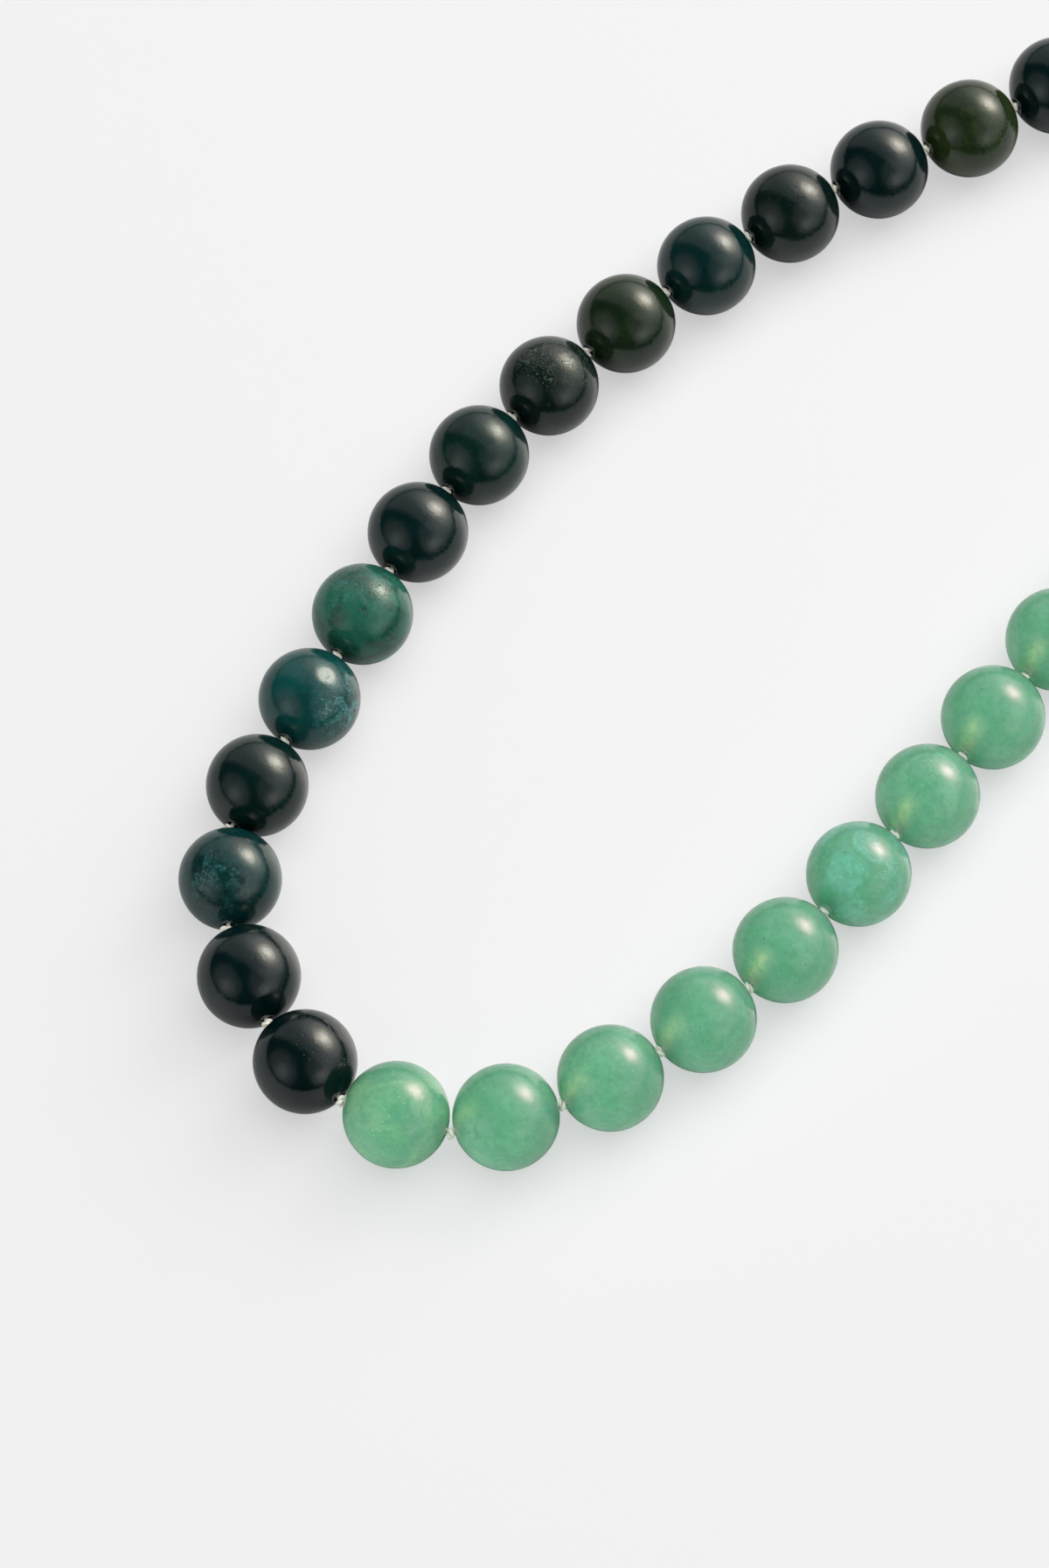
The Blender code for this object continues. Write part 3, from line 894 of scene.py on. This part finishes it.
class NECKLACE_OT_silk_string(bpy.types.Operator):
    """Build the twisted silk string with its knots"""

    bl_idname = "necklace.silk_string"
    bl_label = "Silk string"

    def execute(self, context):
        cord = context.scene.necklace_string
        stones = context.scene.necklace_stones
        rng = np.random.default_rng(STRING_SEED)
        steps = 2
        control, tangent, per_knot = knot_path(cord, rng)
        path = catmull_rom(control, steps)
        first, second = carried_frames(path)
        length = np.append(0.0, np.cumsum(np.linalg.norm(np.diff(path, axis=0), axis=1)))
        angle = round_angles(SILK_FACES)
        ply = np.cos(PLIES * (angle - math.tau * length[:, None] / (PLIES * cord.lay)))
        radius = 0.5 * cord.thread * (PLY_MEAN + PLY_SWELL * ply)
        points = path[:, None] + (radius * np.cos(angle))[..., None] * first[:, None]
        points += (radius * np.sin(angle))[..., None] * second[:, None]
        owner = np.clip(np.arange(len(path)) // (steps * per_knot), 0, len(tangent) - 1)
        points = press_between(points, owner, tangent, stones)
        mesh = grid_mesh("silk_string", points, False, silk("silk", cord))
        add_piece(mesh, ["silk_thread"], slot_of("silk_thread"))
        return {"FINISHED"}


def rounded_box(size, edge, socket, depth):
    """A box along X with round edges, a soft crown and a blind round socket in each end.

    Rows run from one socket's floor out over its mouth, across the end face, round the
    edge, along the body and back the same way. Each row is a superellipse whose power
    falls to a plain circle at the socket.
    """
    half, wide, tall = (0.5 * length for length in size)
    angle = round_angles(96)
    hole = 0.5 * socket
    lip = 0.12 * MM
    mouth = hole + lip
    circle, box = 2.0, 6.0
    rows = [(half - sunk, hole, hole, circle) for sunk in (depth, 0.5 * depth, lip)]
    soft = 0.3 * lip
    rows += [(half - soft, hole + soft, hole + soft, circle), (half, mouth, mouth, circle)]
    for share, power in ((0.35, 2.6), (0.7, 4.0), (1.0, box)):
        rows.append((half, mouth + share * (wide - edge - mouth),
                     mouth + share * (tall - edge - mouth), power))
    for quarter in np.linspace(0.0, 0.5 * math.pi, 9)[1:]:
        inset = edge * (1.0 - math.sin(quarter))
        rows.append((half - edge * (1.0 - math.cos(quarter)), wide - inset, tall - inset, box))
    rows += [((half - edge) * share, wide, tall, box) for share in (0.75, 0.5, 0.25)]
    back = [(-x, a, b, power) for x, a, b, power in reversed(rows)]
    table = np.array(rows + [(0.0, wide, tall, box)] + back)
    x, a, b, power = (column[:, None] for column in table.T)
    cos, sin = np.cos(angle), np.sin(angle)
    reach = (np.abs(cos) ** power + np.abs(sin) ** power) ** (-1.0 / power)
    return np.stack((x * np.ones_like(angle), a * reach * cos, b * reach * sin), axis=-1)


class NECKLACE_OT_box_clasp(bpy.types.Operator):
    """Build the plain silver clasp"""

    bl_idname = "necklace.box_clasp"
    bl_label = "Box clasp"

    def execute(self, context):
        cord = context.scene.necklace_string
        middle, axis, size = clasp_ends()
        side = np.cross(UP, axis)
        turn = np.array((axis, side, UP))
        points = rounded_box(size, cord.edge, cord.socket, cord.socket_depth) @ turn + middle
        mesh = grid_mesh("silver_clasp", points, False, silver("silver", cord))
        add_piece(mesh, ["box_clasp"], slot_of("box_clasp"))
        return {"FINISHED"}


def floor_mesh(radius, material):
    """A round slab whose top lies at height zero: rows run out over the top and back below.

    The radius of a row grows with the square of its place.
    """
    angle = round_angles(96)
    ring = radius * np.linspace(0.02, 1.0, 24) ** 2
    out = np.append(ring, ring[::-1])[:, None]
    height = np.repeat((0.0, -10.0 * MM), len(ring))[:, None] * np.ones_like(angle)
    points = np.stack((out * np.cos(angle), out * np.sin(angle), height), axis=-1)
    return grid_mesh("floor", points, False, material)


def mirrored(right, lift, studio):
    """World direction that a mirror ball shows the camera at a place on its disc.

    The place is in ball radii; the view ray is reflected in the ball's normal there.
    """
    normal = np.array((right, lift, math.sqrt(1.0 - right**2 - lift**2)))
    return as_seen(studio, *(2.0 * normal[2] * normal - np.array(UP)))


def studio_world(studio):
    """World of soft light patches on a dim dome, from the table of patches.

    A patch fades as a bell curve over the plane on which its surroundings are projected
    from the far side of the dome; a higher power gives it a flat middle and crisp edges.
    The half of the dome behind the beads is dimly lit, and all of it fades to a dark band
    at the horizon.
    """
    world = bpy.data.worlds.new("studio")
    bpy.context.scene.world = world
    world.cycles_visibility.diffuse = False
    shader = Shader("studio", world)

    def along(axis):
        inputs = {0: shader.coordinates["Generated"], 1: tuple(axis)}
        return shader.add("VectorMath", inputs, "Value", operation="DOT_PRODUCT")

    back = 0.6 * view_axes(studio)[0] + 0.8 * view_axes(studio)[1]
    total = shader.ramp(along(back), -0.08, 0.14, ROOM_RADIANCE, ROOM_RADIANCE + BACK_RADIANCE)
    for _, right, lift, radiance, wide, tall, edge in STUDIO_PATCHES:
        middle = mirrored(right, lift, studio)
        level = unit(np.cross(UP, middle))
        behind = shader.plus(along(middle), 1.001)
        square = 0.0
        for axis, angle in ((level, wide), (np.cross(middle, level), tall)):
            scaled = tuple(axis / math.tan(0.5 * math.radians(angle)))
            offset = shader.calculate("DIVIDE", along(scaled), behind)
            square = shader.plus(shader.times(offset, offset), square)
        power = shader.times(shader.calculate("POWER", square, edge), -1.0)
        total = shader.plus(shader.times(shader.calculate("EXPONENT", power), radiance), total)
    band = shader.ramp(along(UP), 0.0, math.sin(math.radians(9.0)), 0.12, 1.0)
    total = shader.times(total, band)
    total = shader.add("Mix", {0: shader.ray("Camera"), 2: total, 3: studio.backdrop})
    colour = shader.over((1.0, 1.0, 1.0), studio.warmth, shader.ramp(total, 0.6, 3.0))
    shader.fill(shader.tree.nodes["Background"], {"Strength": total, "Color": colour})


def floor_material(studio):
    """White paper whose shadows the camera sees lifted, as in a retouched product photo.

    What the beads mirror is the plain satin paper, darker and with its own soft gloss.
    """
    shader = Shader("floor")
    paper = shader.noise(0.4, 2.0)
    plain = shader.over(studio.paper, mixed(studio.paper, (1.0, 1.0, 1.0), 0.5), paper)
    seen, mirrored_ray = shader.ray("Camera"), shader.ray("Glossy")
    dim = mixed(studio.paper, (0.0, 0.0, 0.0), 0.42)
    lifted = mixed(studio.paper, (0.0, 0.0, 0.0), studio.lift)
    base = shader.over(shader.over(plain, dim, mirrored_ray), lifted, seen)
    return shader.dress({
        "Base Color": base, "Emission Color": (1.0, 1.0, 1.0),
        "Emission Strength": shader.times(seen, studio.glow), "Roughness": 0.42,
        "Specular IOR Level": shader.times(mirrored_ray, 1.3)})


def pale_stones():
    """Collection of the pale beads, which a light of their own keeps luminous."""
    return bpy.data.collections.get("pale_stones") or bpy.data.collections.new("pale_stones")


def aim(thing, studio, offset):
    """Link a light or camera that stands off the studio's target and faces it."""
    thing.location = Vector(studio.target) + Vector(offset)
    thing.rotation_euler = Vector(-offset).to_track_quat("-Z", "Y").to_euler()
    bpy.context.scene.collection.objects.link(thing)


def add_softbox(name, studio):
    """A square softbox aimed at the necklace that lights surfaces but isn't mirrored."""
    spot, side = SOFTBOXES[name]
    right, away, up, _, _ = view_axes(studio)
    light = bpy.data.lights.new(f"{name}_softbox", "AREA")
    light.shape = "SQUARE"
    light.size = side
    light.energy = getattr(studio, name)
    softbox = bpy.data.objects.new(f"{name}_softbox", light)
    softbox.visible_glossy = False
    softbox.visible_camera = False
    aim(softbox, studio, spot[0] * right + spot[1] * away + spot[2] * up)
    return softbox


def spare_low_light(softbox, floor):
    """Let the low softbox light the pale beads alone, with no shadow of one on the next.

    It stands for the light that passes through the translucent stones, and is tinted so.
    """
    softbox.data.color = LOW_TINT
    softbox.light_linking.receiver_collection = pale_stones()
    blockers = bpy.data.collections.new("low_light_blockers")
    blockers.objects.link(floor)
    softbox.light_linking.blocker_collection = blockers


class NECKLACE_OT_stage(bpy.types.Operator):
    """Build the floor, the lights and the camera"""

    bl_idname = "necklace.stage"
    bl_label = "Stage"

    def execute(self, context):
        studio = context.scene.necklace_studio
        scene = context.scene
        scene.view_settings.view_transform = "Standard"
        floor = bpy.data.objects.new("floor", floor_mesh(studio.floor, floor_material(studio)))
        scene.collection.objects.link(floor)

        lights = {name: add_softbox(name, studio) for name in SOFTBOXES}
        spare_low_light(lights["low"], floor)
        studio_world(studio)

        lens = bpy.data.cameras.new("camera")
        lens.lens = studio.lens
        lens.sensor_width = SENSOR
        lens.clip_start, lens.clip_end = CLIP_RANGE
        camera = bpy.data.objects.new("camera", lens)
        aim(camera, studio, as_seen(studio, 0.0, 0.0, studio.distance))
        scene.camera = camera
        return {"FINISHED"}


class NECKLACE_PT_sidebar(bpy.types.Panel):
    """Lists the builders of the necklace's pieces and their sizes and colours"""

    bl_idname = "NECKLACE_PT_sidebar"
    bl_label = "Knotted Bead Necklace"
    bl_space_type = "VIEW_3D"
    bl_region_type = "UI"
    bl_category = "Necklace"

    def draw(self, context):
        for operator in OPERATORS:
            self.layout.operator(operator.bl_idname)
        scene = context.scene
        for group in (scene.necklace_stones, scene.necklace_string, scene.necklace_studio):
            box = self.layout.box()
            for key in group.bl_rna.properties.keys():
                if key not in ("rna_type", "name"):
                    box.prop(group, key)


OPERATORS = (
    NECKLACE_OT_stage,
    NECKLACE_OT_moss_agate_beads,
    NECKLACE_OT_aventurine_beads,
    NECKLACE_OT_silk_string,
    NECKLACE_OT_box_clasp,
)
SETTINGS = {
    "necklace_stones": NecklaceStoneSettings,
    "necklace_string": NecklaceStringSettings,
    "necklace_studio": NecklaceStudioSettings,
}


def register():
    """Add the classes and the settings to Blender."""
    for kind in (*SETTINGS.values(), *OPERATORS, NECKLACE_PT_sidebar):
        bpy.utils.register_class(kind)
    for key, kind in SETTINGS.items():
        setattr(bpy.types.Scene, key, PointerProperty(type=kind))


def unregister():
    """Take the settings and the classes out again."""
    for key in SETTINGS:
        delattr(bpy.types.Scene, key)
    for kind in (NECKLACE_PT_sidebar, *reversed(OPERATORS), *SETTINGS.values()):
        bpy.utils.unregister_class(kind)


def main():
    """Build the scene."""
    register()
    bpy.ops.necklace.stage()
    bpy.ops.necklace.moss_agate_beads()
    bpy.ops.necklace.aventurine_beads()
    bpy.ops.necklace.silk_string()
    bpy.ops.necklace.box_clasp()


if __name__ == "__main__":
    main()
